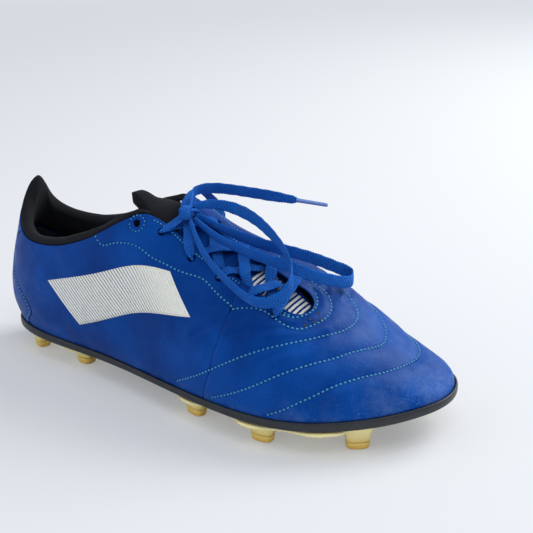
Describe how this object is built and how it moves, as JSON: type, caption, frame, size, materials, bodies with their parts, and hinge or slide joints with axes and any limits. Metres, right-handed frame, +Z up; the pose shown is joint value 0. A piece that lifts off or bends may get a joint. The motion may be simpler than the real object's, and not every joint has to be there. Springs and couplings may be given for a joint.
{
  "type": "soccer cleat",
  "caption": "Low-cut right soccer cleat: lasted leather upper with padded collar, lace-over-tongue throat and tied bow, on a stiff sole plate with moulded studs.",
  "frame": {"origin": "middle of the footprint's bounding box, on the ground under the stud tips", "axes": "+X from heel to toe, +Z up from the stud tips, +Y towards the inner (medial) side of this right shoe"},
  "size_m": [0.2962, 0.1064, 0.1184],
  "materials": {
    "upper_leather": "smooth synthetic leather with a fine grain and low sheen",
    "collar_knit": "black knitted textile over foam",
    "lining_textile": "dark textile lining",
    "board": "fibre board and thermoplastic stiffener",
    "sole_black": "moulded black sole, satin",
    "stud_cream": "cream moulded plastic, satin",
    "stud_tip": "amber moulded plastic, satin",
    "side_print": "ivory printed film with fine hatching",
    "lace_weave": "flat woven lace",
    "aglet_plastic": "clear plastic sleeve over the lace"
  },
  "bodies": {
    "shoe": {"heel_panel": "upper_leather", "quarter_lateral": "upper_leather", "quarter_medial": "upper_leather", "vamp": "upper_leather", "heel_counter": "board", "toe_puff": "board", "eyelet_facing_lateral": "lining_textile", "eyelet_facing_medial": "lining_textile", "quarter_lining": "lining_textile", "vamp_lining": "lining_textile", "collar_padding": "collar_knit", "side_print_lateral": "side_print", "side_print_medial": "side_print", "outsole_plate": "sole_black", "insole_board": "board", "forefoot_stud_plate": "stud_cream", "heel_stud_plate": "stud_cream", "lace_bar": "lace_weave", "lace_cross_1a": "lace_weave", "lace_cross_1b": "lace_weave", "lace_cross_2a": "lace_weave", "lace_cross_2b": "lace_weave", "lace_cross_3a": "lace_weave", "lace_cross_3b": "lace_weave", "lace_cross_4a": "lace_weave", "lace_cross_4b": "lace_weave", "lace_knot": "lace_weave", "stud_tip_fore_lateral_rear": "stud_tip", "stud_tip_fore_lateral_mid": "stud_tip", "stud_tip_fore_lateral_front": "stud_tip", "stud_tip_fore_medial_rear": "stud_tip", "stud_tip_fore_medial_mid": "stud_tip", "stud_tip_fore_medial_front": "stud_tip", "stud_tip_fore_centre": "stud_tip", "stud_tip_heel_lateral_rear": "stud_tip", "stud_tip_heel_lateral_front": "stud_tip", "stud_tip_heel_medial_rear": "stud_tip", "stud_tip_heel_medial_front": "stud_tip"},
    "tongue": {"tongue": "upper_leather", "tongue_lining": "lining_textile"},
    "sockliner": {"sockliner": "collar_knit"},
    "bow_loop_lateral": {"bow_loop_lateral": "lace_weave"},
    "bow_loop_medial": {"bow_loop_medial": "lace_weave"},
    "lace_end_front": {"lace_end_front": "lace_weave", "aglet_front": "aglet_plastic"},
    "lace_end_back": {"lace_end_back": "lace_weave", "aglet_back": "aglet_plastic"}
  },
  "joints": [
    {"name": "tongue_press", "type": "hinge", "parent": "shoe", "child": "tongue", "pos_m": [0.07517, -0.01189, 0.064], "axis": [0, 1, 0], "range_deg": [-10, 0]},
    {"name": "sockliner_lift", "type": "hinge", "parent": "shoe", "child": "sockliner", "pos_m": [0.13117, 0.0131, 0.026], "axis": [0, 1, 0], "range_deg": [0, 5]},
    {"name": "bow_loop_lateral_lift", "type": "hinge", "parent": "shoe", "child": "bow_loop_lateral", "pos_m": [-0.00483, -0.00989, 0.1064], "axis": [0.1709, -0.9853, 0], "range_deg": [0, 40]},
    {"name": "bow_loop_medial_lift", "type": "hinge", "parent": "shoe", "child": "bow_loop_medial", "pos_m": [-0.00483, -0.00989, 0.1064], "axis": [0.1709, -0.9853, 0], "range_deg": [0, 40]},
    {"name": "lace_end_front_lift", "type": "hinge", "parent": "shoe", "child": "lace_end_front", "pos_m": [-0.00483, -0.00989, 0.1064], "axis": [0.5407, -0.8412, 0], "range_deg": [0, 32]},
    {"name": "lace_end_back_lift", "type": "hinge", "parent": "shoe", "child": "lace_end_back", "pos_m": [-0.00483, -0.00989, 0.1064], "axis": [0.5145, 0, 0.8575], "range_deg": [0, 40]}
  ],
  "couplings": [
    {"joint": "bow_loop_medial_lift", "follows": "bow_loop_lateral_lift", "ratio": 1}
  ]
}
